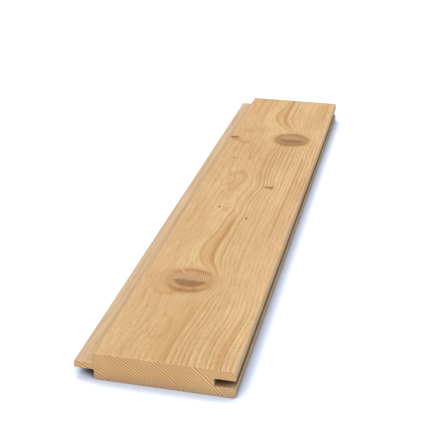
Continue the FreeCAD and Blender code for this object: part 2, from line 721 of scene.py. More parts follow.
@dataclass(frozen=True)
class FibreForm:
    """Levels of the fibres' noise between which each of their marks gains its full strength.

    Attributes:
        broken: Where a growth line is whole again past its breaks.
        broken_shares: Strength of a line in its breaks, and where it is whole.
        cloud: Where the wood turns from pale to tan.
        cloud_share: How far it turns.
        light: Where the palest fibres show.
        streak: Where long streaks show.
        dark: Where darker fibres show.
        fleck: Where short dark dashes show.
    """

    broken: Span = (0.30, 0.70)
    broken_shares: Span = (0.60, 1.30)
    cloud: Span = (0.35, 0.65)
    cloud_share: float = 0.9
    light: Span = (0.50, 0.25)
    streak: Span = (0.42, 0.72)
    dark: Span = (0.50, 0.75)
    fleck: Span = (0.56, 0.78)


@dataclass(frozen=True)
class PatchForm:
    """Places in the round of stains, twigs and loops, as shares of their half width and half length.

    Attributes:
        wobble: How irregular stains and twigs are.
        stain: Where a stain fades out.
        twig: Where a twig fades out.
        loop_wobble: How irregular loops are.
        loop_rise: Where a loop's line darkens.
        loop_stop: Where it ends.
        loop_fill: Where the tone inside it fades out.
        near_half: Where along a loop its near half ends.
        flank: Where across a loop its weaker side ends.
        flank_share: Strength of that side.
    """

    wobble: float = 1.0
    stain: Span = (0.15, 1.15)
    twig: Span = (0.40, 1.10)
    loop_wobble: float = 0.25
    loop_rise: Span = (0.62, 0.96)
    loop_stop: Span = (1.0, 1.16)
    loop_fill: Span = (0.70, 1.10)
    near_half: Span = (-0.6, 0.4)
    flank: Span = (-0.9, 0.1)
    flank_share: float = 0.55


@dataclass(frozen=True)
class BranchForm:
    """Places in the round of a branch, as shares of its half width and half length.

    Attributes:
        wobble: How irregular its outline is.
        edge: Where its wood gives way to the board's.
        halo: Where the stain round it fades out.
        halo_share: Share of that stain next to it.
        rim: Where its collar darkens towards the outline.
        near_end: Where along it the darker near end of the rim fades.
        far_end: Where along it the far end of the rim darkens again.
        rim_shares: How dark the rim is between those ends, and what the far end adds.
        spokes: How many streaks run out from its middle.
        spoke_change: How fast those change outwards.
        middle: Reach under which they are drawn alike.
        collar_streaks: Noise of the spokes between which they darken the collar.
        collar_streak_share: How dark they make it.
        core_half: Half width and half length of its core.
        core_edge: Where the core gives way to the collar, in cores.
        streak_scale: How many streaks fray its core, across and along.
        ragged: How far they fray the heart's edge.
        core_ragged: Share of that at the core's edge.
        ring_centre: How far past its middle its own growth lines lie.
        ring_width: Width of one of those lines, in millimetres.
        ring_rise: Where in its course such a line darkens.
        ring_stop: Where in its course it ends.
        ring_break: Noise of the spokes between which a broken line is whole again.
        ring_break_share: Strength of the line in its breaks.
        heart: Where along it the dark heart ends.
        heart_cover: How fully the heart covers the core.
        heart_line: Where along it the heart darkens towards that end.
        heart_line_share: How dark it is there.
        heart_streaks: Noise of the spokes between which they darken the heart.
        heart_streak_share: How dark they make it.
        shades: How much of a branch's shade its core and its heart take.
        cover: How fully its wood covers the board's.
        crack_heading: Direction of the drying crack.
        crack_width: Where the crack's side fades out.
        crack_start: Where the crack starts.
        crack_end: Where it ends.
        crack_share: How fully it shows.
    """

    wobble: float = 0.16
    edge: Span = (0.84, 1.10)
    halo: Span = (0.95, 1.40)
    halo_share: float = 0.35
    rim: Span = (0.52, 0.94)
    near_end: Span = (-0.85, -0.15)
    far_end: Span = (0.15, 0.85)
    rim_shares: Span = (0.12, 0.55)
    spokes: float = 7.0
    spoke_change: float = 2.0
    middle: float = 0.05
    collar_streaks: Span = (0.40, 0.75)
    collar_streak_share: float = 0.45
    core_half: Span = (0.68, 0.58)
    core_edge: Span = (0.80, 1.10)
    streak_scale: Span = (10.0, 2.5)
    ragged: float = 0.5
    core_ragged: float = 0.6
    ring_centre: float = 0.12
    ring_width: float = 1.4
    ring_rise: Span = (0.20, 0.55)
    ring_stop: Span = (0.75, 1.0)
    ring_break: Span = (0.30, 0.60)
    ring_break_share: float = 0.8
    heart: Span = (-0.06, 0.06)
    heart_cover: float = 0.95
    heart_line: Span = (-0.16, -0.04)
    heart_line_share: float = 0.6
    heart_streaks: Span = (0.40, 0.65)
    heart_streak_share: float = 0.5
    shades: Span = (0.6, 1.1)
    cover: float = 0.96
    crack_heading: Span = (-0.54, 0.84)
    crack_width: Span = (0.01, 0.045)
    crack_start: Span = (0.58, 0.72)
    crack_end: Span = (1.0, 1.2)
    crack_share: float = 0.65


@dataclass(frozen=True)
class WoodPoint:
    """The point of the board that is drawn, as the softwood's group sees it.

    Attributes:
        wiring: The group's wiring.
        given: What the finish gives the group.
        place: The point, in millimetres.
        along: Its place along the board.
        height: Its height.
        years: The count of years of its growth layer.
        knot_place: The group that finds its place in the round of a knot.
    """

    wiring: Wiring
    given: dict[str, Signal]
    place: Signal
    along: Signal
    height: Signal
    years: Signal
    knot_place: bpy.types.NodeTree


@dataclass
class SoftwoodEffects:
    """Builds the shader groups that every cut of the board shares.

    Attributes:
        tree: The tree that the board was sawn from.
        colours: The wood's colours.
        line: The course of its growth lines.
        fibre: The marks of its fibres.
        patch: The form of its stains, twigs and loops.
        branch: The form of its branches.
        fibre_noises: The irregularities of its fibres.
        fibre_bend: Shares of the place across and of the count of years in what the fibres follow.
        stripes_along: How strongly the stripes show, by place along the board.
        quiet_heart: Radii between which the lines of the inner wood gain their full strength.
        quiet_share: Strength of the lines inside that.
        inner_wood: Radii between which the darker inner wood ends.
        inner_share: How dark the wood is inside that.
        figure_depth: Heights between which the stains and loops of the face show.
        low_shade_height: Height up to which the painted shade towards the floor reaches.
        bump_scale: How many bumps an outline has.
    """

    tree: Tree
    colours: WoodColours = WoodColours()
    line: LineForm = LineForm()
    fibre: FibreForm = FibreForm()
    patch: PatchForm = PatchForm()
    branch: BranchForm = BranchForm()
    fibre_noises: tuple[FibreNoise, ...] = (
        FibreNoise("Fine", 3.0, 0.07, 1.1, roughness=0.55),
        FibreNoise("Fleck", 1.8, 0.42, 1.1, detail=1.0),
        FibreNoise("Streak", 0.6, 0.012, 0.3),
        FibreNoise("Cloud", 0.040, 0.016, 0.040, bends=False),
    )
    fibre_bend: Span = (0.5, 1.25)
    stripes_along: tuple[Span, ...] = (
        (-250.0, 0.95), (-195.0, 0.68), (-160.0, 0.36), (-75.0, 0.34), (-10.0, 0.55), (25.0, 1.0),
        (118.0, 1.0), (150.0, 0.42), (250.0, 0.24),
    )
    quiet_heart: Span = (192.4, 202.5)
    quiet_share: float = 0.24
    inner_wood: Span = (184.1, 199.8)
    inner_share: float = 0.66
    figure_depth: Span = (9.0, 16.0)
    low_shade_height: float = 9.0
    bump_scale: float = 2.2

    def years_of(self, *radii: float) -> list[float]:
        """Count the years of growth inside each radius."""
        return self.tree.years_at(np.array(radii)).tolist()

    def growth_lines(self) -> bpy.types.NodeTree:
        """Build the group that draws growth lines from the count of years.

        Returns:
            The group's tree.
        """
        inputs = numbers("Years", "Along", "Years per Line", "Evenness")
        group = EffectGroup("growth lines", inputs, numbers("Line"))
        wiring, given, form = group.wiring, group.given, self.line
        even = given["Evenness"]
        cycle = given["Years"] / given["Years per Line"]
        phase = wiring.math("FRACT", cycle)
        number = wiring.math("FLOOR", cycle)
        chance = wiring.lay("ShaderNodeTexWhiteNoise", {"W": number}, noise_dimensions="1D")["Value"]
        unlike, change = form.run_scale
        run = wiring.noise(wiring.place(number * unlike, given["Along"] * change), detail=1.0)
        uneven = wiring.between(chance, form.weakest, 1.0) * run.rise(*form.run, bottom=form.run_share)
        strength = wiring.between(even, uneven, 1.0)
        soft_share = wiring.between(even, *form.soft_share)
        soft = phase.rise(*form.soft)
        crisp = phase.rise(*(wiring.between(even, *ends) for ends in zip(form.crisp, form.even_crisp)))
        line = wiring.between(soft_share, crisp, soft) * phase.fall(*LINE_STOP)
        return group.give({"Line": line * strength})

    def fibres(self) -> bpy.types.NodeTree:
        """Build the group that draws fibres and the slow change of tone along them.

        Returns:
            The group's tree.
        """
        outputs = numbers(*(noise.name for noise in self.fibre_noises))
        group = EffectGroup("fibres", {"Place": SocketKind.PLACE} | numbers("Years"), outputs)
        wiring = group.wiring
        x, y, z = wiring.apart(group.given["Place"])
        straight, bent = self.fibre_bend
        across = x * straight + group.given["Years"] * bent
        results: dict[str, Feed] = {}
        for noise in self.fibre_noises:
            sideways = across if noise.bends else x
            spot = wiring.place(sideways * noise.across, y * noise.along, z * noise.upward)
            results[noise.name] = wiring.noise(spot, noise.detail, noise.roughness)
        return group.give(results)

    def accent(self) -> bpy.types.NodeTree:
        """Build the group that picks one growth line over a stretch of the board.

        Returns:
            The group's tree.
        """
        inputs = numbers("Years", "Along", "Inner", "Outer", "Limit", "Start", "End", "Fade")
        group = EffectGroup("line accent", inputs, numbers("Mask"))
        given = group.given
        years, along, start, end, fade = (given[name] for name in ("Years", "Along", "Start", "End", "Fade"))
        band = years.rise(given["Inner"], given["Outer"]) * years.fall(given["Outer"], given["Limit"])
        stretch = along.rise(start - fade, start + fade) * along.fall(end - fade, end + fade)
        return group.give({"Mask": band * stretch})

    def knot_place(self) -> bpy.types.NodeTree:
        """Build the group that finds a point's place in the round of a branch.

        Returns:
            The group's tree.
        """
        names = ("Centre X", "Centre Y", "Lean", "Half Width", "Half Length", "Seed", "Wobble", "Taper")
        inputs = {"Place": SocketKind.PLACE} | numbers(*names)
        group = EffectGroup("knot place", inputs, numbers("Across", "Along", "Distance"))
        wiring, given = group.wiring, group.given
        x, y, z = wiring.apart(given["Place"])
        depth = z - self.tree.face_z
        size = depth / (self.tree.face_z - self.tree.pith_z) + 1.0
        axis_x = depth * given["Lean"] + given["Centre X"]
        along = (y - given["Centre Y"]) / (given["Half Length"] * size)
        narrowing = along.rise(-1.0, 1.0, bottom=-1.0) * given["Taper"] + 1.0
        across = (x - axis_x) / (given["Half Width"] * size * narrowing)
        spot = wiring.place(across * self.bump_scale, along * self.bump_scale, given["Seed"])
        wobble = (wiring.noise(spot, detail=3.0) - NOISE_MEAN) * given["Wobble"]
        return group.give({"Across": across, "Along": along, "Distance": across.reach(along) + wobble})

    def branch_wood(self, knot_place: bpy.types.NodeTree) -> bpy.types.NodeTree:
        """Build the group that lays a branch's wood over the board's.

        Args:
            knot_place: The group that finds a point's place in a branch.

        Returns:
            The group's tree.
        """
        names = ("Centre X", "Centre Y", "Lean", "Half Width", "Half Length", "Seed")
        inputs = {"Place": SocketKind.PLACE} | numbers(*names, "Shade") | {"Wood": SocketKind.COLOUR}
        group = EffectGroup("branch wood", inputs, {"Wood": SocketKind.COLOUR} | numbers("Mask"))
        wiring, given = group.wiring, group.given
        colours, form = self.colours, self.branch
        place = {name: given[name] for name in ("Place", *names)}
        spot = wiring.effect(knot_place, place | {"Wobble": form.wobble})
        across, along, distance = spot["Across"], spot["Along"], spot["Distance"]
        seed, shade = given["Seed"], given["Shade"]
        mask = distance.fall(*form.edge)
        halo = distance.fall(*form.halo, top=form.halo_share)

        beside, far = form.rim_shares
        ends = along.rise(*form.near_end, bottom=1.0, top=beside) + along.rise(*form.far_end, top=far)
        rim = distance.rise(*form.rim) * ends
        reach = across.reach(along).most(form.middle)
        spoke_x, spoke_y = (side * form.spokes / reach for side in (across, along))
        spokes = wiring.noise(wiring.place(spoke_x, spoke_y, distance * form.spoke_change + seed))
        collar_share = rim + spokes.rise(*form.collar_streaks, top=form.collar_streak_share)
        collar = wiring.blend(collar_share, colours.collar, colours.collar_dark)

        half_width, half_length = form.core_half
        core_distance = (across / half_width).reach(along / half_length)
        streaks_across, streaks_along = form.streak_scale
        streaks = wiring.noise(wiring.place(across * streaks_across, along * streaks_along, seed))
        frayed = (streaks - NOISE_MEAN) * form.ragged
        core_mask = (core_distance + frayed * form.core_ragged).fall(*form.core_edge)
        ring_distance = across.reach(along - form.ring_centre)
        turn = wiring.math("FRACT", ring_distance * given["Half Width"] / form.ring_width)
        ring_line = turn.rise(*form.ring_rise) * turn.fall(*form.ring_stop)
        ring_line = ring_line * spokes.rise(*form.ring_break, bottom=form.ring_break_share)
        core_shade, heart_shade = form.shades
        core = wiring.blend(ring_line, colours.core, colours.core_line)
        core = wiring.blend(shade * core_shade, core, colours.shade)
        heart_edge = along + frayed
        heart_share = ring_line.most(spokes.rise(*form.heart_streaks, top=form.heart_streak_share))
        heart_share = heart_share.most(heart_edge.rise(*form.heart_line, top=form.heart_line_share))
        heart = wiring.blend(heart_share, colours.heart, colours.heart_dark)
        heart = wiring.blend(shade * heart_shade, heart, colours.shade)
        core = wiring.blend(heart_edge.fall(*form.heart, top=form.heart_cover), core, heart)

        heading_x, heading_y = form.crack_heading
        crack_run = across * heading_x + along * heading_y
        crack_gap = wiring.math("ABSOLUTE", across * heading_y - along * heading_x)
        crack = crack_gap.fall(*form.crack_width, top=form.crack_share) * crack_run.rise(*form.crack_start)
        crack = crack * crack_run.fall(*form.crack_end)

        wood = wiring.blend(halo, given["Wood"], colours.stain)
        branch = wiring.blend(core_mask, wiring.blend(shade, collar, colours.shade), core)
        branch = wiring.blend(mask * form.cover, wood, branch)
        return group.give({"Wood": wiring.blend(crack, branch, colours.crack), "Mask": mask})

    def find_point(self, group: EffectGroup) -> WoodPoint:
        """Find the point that is drawn.

        Args:
            group: The softwood's group.

        Returns:
            The point.
        """
        wiring = group.wiring
        stored = wiring.lay(
            "ShaderNodeAttribute", {}, attribute_type="GEOMETRY", attribute_name=YEARS_ATTRIBUTE
        )
        metres = wiring.lay("ShaderNodeTexCoord", {})["Object"]
        scaling = {"Vector": metres, "Scale": 1.0 / MILLIMETRE}
        place = wiring.lay("ShaderNodeVectorMath", scaling, operation="SCALE")["Vector"]
        _, along, height = wiring.apart(place)
        return WoodPoint(wiring, group.given, place, along, height, stored["Fac"], self.knot_place())

    def spot_inputs(self, point: WoodPoint, spot: Union[Knot, Stain]) -> dict[str, Feed]:
        """Name the place and size of a knot, a stain or a loop as a group's inputs.

        Args:
            point: The point that is drawn.
            spot: The knot, stain or loop.

        Returns:
            The inputs by name.
        """
        return {
            "Place": point.place, "Centre X": spot.x, "Centre Y": spot.y,
            "Lean": self.tree.lean(spot) if isinstance(spot, Knot) else 0.0,
            "Half Width": spot.half_width, "Half Length": spot.half_length, "Seed": spot.seed,
        }

    def lay_grain(self, point: WoodPoint) -> tuple[Signal, Signal, Signal]:
        """Lay the growth lines and the fibres.

        Args:
            point: The point that is drawn.

        Returns:
            The wood's colour, the strength of the growth line and the finest fibres.
        """
        wiring, given, years = point.wiring, point.given, point.years
        colours, form = self.colours, self.fibre
        even = given["Evenness"]
        line_inputs = {
            "Years": years, "Along": point.along, "Years per Line": given["Years per Line"], "Evenness": even,
        }
        line = wiring.effect(self.growth_lines(), line_inputs)["Line"]
        quiet_heart = years.rise(*self.years_of(*self.quiet_heart), bottom=self.quiet_share)
        showing = wiring.between(even, quiet_heart * point.along.profile(self.stripes_along), 1.0)
        fibre = wiring.effect(self.fibres(), {"Place": point.place, "Years": years})
        broken = wiring.between(even, fibre["Fleck"].rise(*form.broken, *form.broken_shares), 1.0)
        line = line * showing * broken

        inner_wood = years.fall(*self.years_of(*self.inner_wood), top=self.inner_share)
        tan_share = fibre["Cloud"].rise(*form.cloud, top=form.cloud_share) + inner_wood
        wood = wiring.blend(tan_share, colours.pale, colours.tan)
        wood = wiring.blend(fibre["Fine"].rise(*form.light) * given["Fibre"], wood, colours.light)
        wood = wiring.blend(fibre["Streak"].rise(*form.streak) * given["Streaks"], wood, colours.line)
        wood = wiring.blend(line * given["Contrast"], wood, colours.line)
        wood = wiring.blend(fibre["Fine"].rise(*form.dark) * given["Fibre"], wood, colours.line)
        wood = wiring.blend(fibre["Fleck"].rise(*form.fleck) * given["Fibre"], wood, colours.fleck)
        return wood, line, fibre["Fine"]

    def lay_accents(self, point: WoodPoint, wood: Signal) -> Signal:
        """Lay the strong growth lines over the wood.

        Args:
            point: The point that is drawn.
            wood: Its colour so far.

        Returns:
            Its colour with the lines.
        """
        wiring, accent = point.wiring, self.accent()
        for picked in ACCENTS:
            inner, outer, limit = self.years_of(picked.inner, picked.outer, picked.outer + picked.edge)
            band = {"Years": point.years, "Inner": inner, "Outer": outer, "Limit": limit}
            stretch = {"Along": point.along, "Start": picked.start, "End": picked.end, "Fade": picked.fade}
            mask = wiring.effect(accent, band | stretch)["Mask"]
            tone = getattr(self.colours, picked.tone.value)
            wood = wiring.blend(mask * point.given["Figure"] * picked.strength, wood, tone)
        return wood

    def lay_patches(self, point: WoodPoint, wood: Signal) -> Signal:
        """Lay the stains and the loops over the wood near the face.

        Args:
            point: The point that is drawn.
            wood: Its colour so far.

        Returns:
            Its colour with the stains and loops.
        """
        wiring, form = point.wiring, self.patch
        near_face = point.height.rise(*self.figure_depth) * point.given["Figure"]
        for stain in STAINS:
            outline = {"Wobble": form.wobble}
            spot = wiring.effect(point.knot_place, self.spot_inputs(point, stain) | outline)
            mask = spot["Distance"].fall(*form.stain, top=stain.strength)
            wood = wiring.blend(mask * near_face, wood, self.colours.stain)
        for loop in LOOPS:
            outline = {"Wobble": form.loop_wobble, "Taper": loop.taper}
            spot = wiring.effect(point.knot_place, self.spot_inputs(point, loop) | outline)
            distance = spot["Distance"]
            near_half = spot["Along"].fall(*form.near_half)
            fill = distance.fall(*form.loop_fill, top=loop.fill) * near_half * near_face
            flank = spot["Across"].rise(*form.flank, bottom=form.flank_share)
            rim = distance.rise(*form.loop_rise) * distance.fall(*form.loop_stop) * flank
            strength = wiring.between(near_half, loop.strength * loop.far_share, loop.strength)
            wood = wiring.blend(fill.most(rim * near_face * strength), wood, self.colours.orange)
        return wood

    def lay_knots(self, point: WoodPoint, wood: Signal) -> tuple[Signal, Feed]:
        """Lay the twigs and the branches over the wood.

        Args:
            point: The point that is drawn.
            wood: Its colour so far.

        Returns:
            Its colour with the knots, and the mask of all knots.
        """
        wiring, form = point.wiring, self.patch
        branch_wood = self.branch_wood(point.knot_place)
        knots: Feed = 0.0
        for knot in TWIGS:
            outline = {"Wobble": form.wobble}
            spot = wiring.effect(point.knot_place, self.spot_inputs(point, knot) | outline)
            mask = spot["Distance"].fall(*form.twig)
            wood = wiring.blend(mask * knot.shade, wood, self.colours.twig)
            knots = mask.most(knots)
        for knot in BRANCHES:
            covered = {"Shade": knot.shade, "Wood": wood}
            branch = wiring.effect(branch_wood, self.spot_inputs(point, knot) | covered)
            wood = branch["Wood"]
            knots = branch["Mask"].most(knots)
        return wood, knots

    def softwood(self) -> bpy.types.NodeTree:
        """Build the group that makes the wood of the whole board.

        Returns:
            The group's tree.
        """
        inputs = numbers("Years per Line", "Evenness", "Contrast", "Fibre", "Figure", "Streaks")
        outputs = {"Wood": SocketKind.COLOUR} | numbers("Line", "Fine", "Knot", "Low Shade")
        group = EffectGroup("softwood", inputs, outputs)
        point = self.find_point(group)
        wood, line, fine = self.lay_grain(point)
        wood = self.lay_accents(point, wood)
        wood = self.lay_patches(point, wood)
        wood, knots = self.lay_knots(point, wood)
        # Painted shade: how strongly the wood is darkened towards the floor, by height.
        low = point.height.fall(0.0, self.low_shade_height)
        return group.give({"Wood": wood, "Line": line, "Fine": fine, "Knot": knots, "Low Shade": low})


class Cut(Enum):
    """How a surface of the board was made."""

    PLANED = "planed"
    MOULDED = "moulded"
    GROOVED = "grooved"
    SAWN = "sawn"


@dataclass(frozen=True)
class WoodFinish:
    """The look of the softwood on one kind of cut.

    Attributes:
        cut: How the surface was made.
        years_per_line: How many years of growth one visible line stands for.
        evenness: How alike the lines are, from 0 to 1.
        contrast: How dark the lines are.
        fibre: How strongly single fibres show.
        figure: How strongly the accents and stains of the face show.
        dull: Roughness between the lines.
        sheen: Roughness on lines and knots.
        relief: Strength of the finest relief.
        streak: How strongly long streaks show.
        veil_share: Share of the cutter's dull veil over the wood.
        low_shade_share: Share of the painted shade that darkens the wood towards the floor.
        veil: That veil's colour.
        low_shade: Colour of that painted shade towards the floor.
        corner: Colour of the painted shade in closed corners.
        corner_shade_reach: How far that painted shade reaches out of a corner, in millimetres.
        corner_shade_open: Openness between which that thins out.
        corner_shade_samples: How many directions a corner is felt in.
        gloss: How strongly the bare wood shines.
        relief_depth: Depth of the finest relief, in millimetres.
        line_height: Height of a growth line in that, where a fibre's depth is 1.
    """

    cut: Cut
    years_per_line: float
    evenness: float
    contrast: float
    fibre: float
    figure: float
    dull: float
    sheen: float
    relief: float
    streak: float
    veil_share: float
    low_shade_share: float
    veil: Colour = pigment(215, 194, 168)
    # Painted shade: the colour that darkens the wood towards the floor.
    low_shade: Colour = pigment(146, 132, 112)
    # Painted shade: the colour that darkens closed corners, spread by openness.
    corner: Colour = pigment(98, 66, 40)
    corner_shade_reach: float = 7.0
    corner_shade_open: Span = (0.20, 1.0)
    corner_shade_samples: int = 4
    gloss: float = 0.2
    relief_depth: float = 0.2
    line_height: float = 0.5

    def material(self, softwood: bpy.types.NodeTree) -> bpy.types.Material:
        """Make the finish's material.

        Args:
            softwood: The group that makes the wood.

        Returns:
            The material.
        """
        made = bpy.data.materials.new(f"{self.cut.value} softwood")
        wiring = Wiring.fresh(made)
        grain = {"Years per Line": self.years_per_line, "Evenness": self.evenness, "Contrast": self.contrast}
        marks = {"Fibre": self.fibre, "Figure": self.figure, "Streaks": self.streak}
        wood = wiring.effect(softwood, grain | marks)
        reach = {"Distance": self.corner_shade_reach * MILLIMETRE}
        openness = wiring.lay(
            "ShaderNodeAmbientOcclusion", reach, samples=self.corner_shade_samples, only_local=True
        )["AO"]
        tone = wiring.blend(self.veil_share, wood["Wood"], self.veil)
        # Painted shade: the wood turns darker and greyer towards the floor.
        tone = wiring.blend(wood["Low Shade"] * self.low_shade_share, tone, self.low_shade)
        # Painted shade: closed corners, such as the groove and the tongue's shoulder, turn dark by their
        # openness.
        tone = wiring.blend(openness.rise(*self.corner_shade_open), self.corner, tone)
        smooth = wood["Line"].most(wood["Knot"])
        bump = {
            "Strength": self.relief, "Distance": self.relief_depth * MILLIMETRE,
            "Height": wood["Line"] * self.line_height - wood["Fine"],
        }
        surface = {
            "Base Color": tone, "Roughness": wiring.between(smooth, self.dull, self.sheen),
            "Specular IOR Level": self.gloss, "Normal": wiring.lay("ShaderNodeBump", bump)["Normal"],
        }
        shader = wiring.lay("ShaderNodeBsdfPrincipled", surface)["BSDF"]
        wiring.lay("ShaderNodeOutputMaterial", {"Surface": shader})
        return made


FINISHES = (
    WoodFinish(
        Cut.PLANED, YEARS_PER_LINE, evenness=0.0, contrast=0.86, fibre=0.42, figure=1.0, dull=0.72,
        sheen=0.60, relief=0.35, streak=0.18, veil_share=0.0, low_shade_share=0.0,
    ),
    WoodFinish(
        Cut.MOULDED, YEARS_PER_LINE, evenness=0.3, contrast=0.60, fibre=0.24, figure=1.0, dull=0.75,
        sheen=0.65, relief=0.40, streak=0.62, veil_share=0.42, low_shade_share=0.10,
    ),
    # The groove gets stronger painted shade towards the floor and from its corners.
    WoodFinish(
        Cut.GROOVED, YEARS_PER_LINE, evenness=0.3, contrast=0.45, fibre=0.24, figure=0.3, dull=0.75,
        sheen=0.65, relief=0.40, streak=0.15, veil_share=0.15, low_shade_share=0.40, corner_shade_reach=8.5,
    ),
    # The sawn end is darkened towards the floor by painted shade.
    WoodFinish(
        Cut.SAWN, 1.0, evenness=1.0, contrast=0.82, fibre=0.30, figure=0.0, dull=0.85,
        sheen=0.75, relief=0.50, streak=0.0, veil_share=0.0, low_shade_share=0.28,
    ),
)


# The board

@dataclass(frozen=True)
class Corner:
    """A corner of the section and the run that leaves it.

    Attributes:
        x: Place across the board.
        z: Height.
        radius: Radius of the corner's rounding, 0 for a sharp one.
        rounding: How the rounding was made.
        cut: How the surface of the run was made.
        step: Spacing of the mesh along the run.
    """

    x: float
    z: float
    radius: float
    rounding: Cut
    cut: Cut
    step: float


@dataclass
class Board:
    """The board with its fine relief.

    Attributes:
        low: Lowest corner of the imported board, in millimetres.
        high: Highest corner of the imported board, in millimetres.
        tree: The tree that it was sawn from.
        tongue_reach: How far the tongue stands out of its shoulders.
        tongue_thickness: From cheek to cheek.
        cheek_clearance: Gap beside each cheek of a tongue in the groove.
        nose_clearance: Gap past the nose of a tongue in the groove.
        nose_radius: Rounding of the nose and of the groove's floor.
        face_arris: Rounding of the face's long edges.
        back_arris: Rounding of the back's long edges.
        mouth_arris: Rounding of the groove's mouth.
        end_ease: Width of the broken edge round each sawn end.
        face_step: Spacing of the mesh across the face.
        back_step: Spacing of the mesh across the back.
        edge_step: Spacing of the mesh on the tongue and in the groove.
        row_step: Spacing of the mesh along the board.
        end_step: Spacing of the mesh on the sawn ends.
        arc_parts: Parts of a rounded corner.
        hollow: Depth of the soft spring growth below the hard lines.
        hard_rise: Where in a line's course the wood turns hard.
        knot_edge: Where in a knot its even surface ends, as shares of its size.
        rim_width: Width of the dip round a knot, as a share of its size.
        rim_dip: Depth of that dip, in hollows.
        section: The points round the section.
        outward: The outward direction at each.
        cuts: The cut at each.
        sharp: Whether each is a sharp corner.
    """

    low: Vector
    high: Vector
    tree: Tree
    tongue_reach: float = 12.0
    tongue_thickness: float = 4.6
    cheek_clearance: float = 0.2
    nose_clearance: float = 0.5
    nose_radius: float = 1.0
    face_arris: float = 1.5
    back_arris: float = 1.0
    mouth_arris: float = 0.35
    end_ease: float = 0.2
    face_step: float = 0.65
    back_step: float = 1.6
    edge_step: float = 1.3
    row_step: float = 1.7
    end_step: float = 1.4
    arc_parts: int = 4
    hollow: float = 0.05
    hard_rise: Span = (0.15, 0.84)
    knot_edge: Span = (0.85, 1.0)
    rim_width: float = 0.06
    rim_dip: float = 1.5
    section: np.ndarray = field(init=False)
    outward: np.ndarray = field(init=False)
    cuts: list[Cut] = field(init=False)
    sharp: list[bool] = field(init=False)

    def corners(self) -> list[Corner]:
        """List the section's corners, clockwise from the tongue side of the face.

        Returns:
            The corners.
        """
        left, right = self.low.x + self.tongue_reach, self.high.x
        bottom, top = self.low.z, self.high.z
        middle = (bottom + top) / 2
        cheek = self.tongue_thickness / 2
        mouth = cheek + self.cheek_clearance
        floor = right - self.tongue_reach - self.nose_clearance
        tip = self.low.x
        moulded = (Cut.MOULDED, Cut.MOULDED, self.edge_step)
        grooved = (Cut.GROOVED, Cut.GROOVED, self.edge_step)
        return [
            Corner(left, top, self.face_arris, Cut.PLANED, Cut.PLANED, self.face_step),
            Corner(right, top, self.face_arris, *grooved),
            Corner(right, middle + mouth, self.mouth_arris, *grooved),
            Corner(floor, middle + mouth, self.nose_radius, *grooved),
            Corner(floor, middle - mouth, self.nose_radius, *grooved),
            Corner(right, middle - mouth, self.mouth_arris, *grooved),
            Corner(right, bottom, self.back_arris, Cut.PLANED, Cut.PLANED, self.back_step),
            Corner(left, bottom, self.back_arris, Cut.PLANED, Cut.MOULDED, self.edge_step),
            Corner(left, middle - cheek, 0.0, *moulded),
            Corner(tip, middle - cheek, self.nose_radius, *moulded),
            Corner(tip, middle + cheek, self.nose_radius, *moulded),
            Corner(left, middle + cheek, 0.0, *moulded),
        ]

    def draw_section(self) -> None:
        """Lay points round the section, with the outward direction and the cut at each."""
        corners = self.corners()
        points: list[np.ndarray] = []
        self.cuts = []
        self.sharp = []
        for number, corner in enumerate(corners):
            following = corners[(number + 1) % len(corners)]
            here = np.array((corner.x, corner.z))
            before = np.array((corners[number - 1].x, corners[number - 1].z))
            after = np.array((following.x, following.z))
            arriving = (here - before) / np.linalg.norm(here - before)
            leaving = (after - here) / np.linalg.norm(after - here)
            centre = here - arriving * corner.radius + leaving * corner.radius
            parts = self.arc_parts if corner.radius > 0.0 else 0
            for part in range(parts + 1):
                turn = 0.5 * math.pi * part / parts if parts else 0.0
                inward = leaving * corner.radius * math.cos(turn)
                points.append(centre - inward + arriving * corner.radius * math.sin(turn))
                self.cuts.append(corner.rounding if part < parts else corner.cut)
                self.sharp.append(parts == 0)
            run_start = here + leaving * corner.radius
            run_end = after - leaving * following.radius
            pieces = max(1, round(float(np.linalg.norm(run_end - run_start)) / corner.step))
            for piece in range(1, pieces):
                points.append(run_start + (run_end - run_start) * piece / pieces)
                self.cuts.append(corner.cut)
                self.sharp.append(False)
        self.section = np.array(points)
        steps = np.roll(self.section, -1, axis=0) - self.section
        normals = np.stack((-steps[:, 1], steps[:, 0]), axis=1)
        normals /= np.linalg.norm(normals, axis=1)[:, None]
        outward = normals + np.roll(normals, 1, axis=0)
        self.outward = outward / np.linalg.norm(outward, axis=1)[:, None]

    def rows(self) -> tuple[np.ndarray, np.ndarray]:
        """Place the section's copies along the board.

        Returns:
            Their places, and how far each is drawn in by the broken edge of an end.
        """
        near, far = self.low.y, self.high.y
        count = round((far - near - 2 * self.end_ease) / self.row_step)
        inner = np.linspace(near + self.end_ease, far - self.end_ease, count + 1)
        places = np.concatenate(([near], inner, [far]))
        drawn_in = np.zeros(len(places))
        drawn_in[[0, -1]] = self.end_ease
        return places, drawn_in

    def relief(self, points: np.ndarray) -> np.ndarray:
        """Find how far the planed surface lies below the hardest wood.

        Args:
            points: Points of the surface.

        Returns:
            The depth at each.
        """
        x, y, z = points.T
        years = self.tree.years_at(self.tree.radius_at(x, y, z))
        phase = np.mod(years / YEARS_PER_LINE, 1.0)
        hard = smooth_step(*self.hard_rise, phase) * (1.0 - smooth_step(*LINE_STOP, phase))
        depth = self.hollow * (1.0 - hard)
        for knot in BRANCHES + TWIGS:
            axis_x = knot.x + self.tree.lean(knot) * (z - self.tree.face_z)
            distance = np.hypot((x - axis_x) / knot.half_width, (y - knot.y) / knot.half_length)
            inside = 1.0 - smooth_step(*self.knot_edge, distance)
            rim = np.exp(-((distance - 1.0) / self.rim_width) ** 2)
            depth = depth * (1.0 - inside) + self.rim_dip * self.hollow * rim
        return depth

